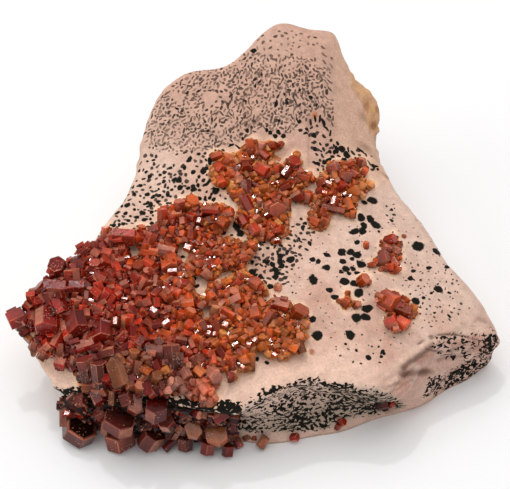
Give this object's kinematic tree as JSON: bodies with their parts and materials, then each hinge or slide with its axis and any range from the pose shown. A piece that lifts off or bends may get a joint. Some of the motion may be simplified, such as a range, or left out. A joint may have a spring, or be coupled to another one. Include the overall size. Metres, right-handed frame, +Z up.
{
  "type": "vanadinite specimen",
  "caption": "Flat-based block of pink stone with black spots, a druse of red-brown hexagonal crystals over its left side and smaller crystal groups on its top",
  "frame": {"origin": "on the resting plane, under the centre of the specimen's box", "axes": "+Z up from the flat base; +X along the longest side, to the right as the crystals are seen from the front; -Y towards the viewer"},
  "size_m": [0.0934, 0.0828, 0.0366],
  "materials": {
    "pink_stone": "matt, fine-grained, with black dendrite spots",
    "red_crystal": "glossy, resinous crystal faces"
  },
  "bodies": {
    "root": {"matrix_rock": "pink_stone", "main_druse": "red_crystal", "upper_cluster": "red_crystal", "east_cluster": "red_crystal", "southeast_cluster": "red_crystal", "middle_crystal": "red_crystal", "south_crystals": "red_crystal"}
  },
  "joints": []
}
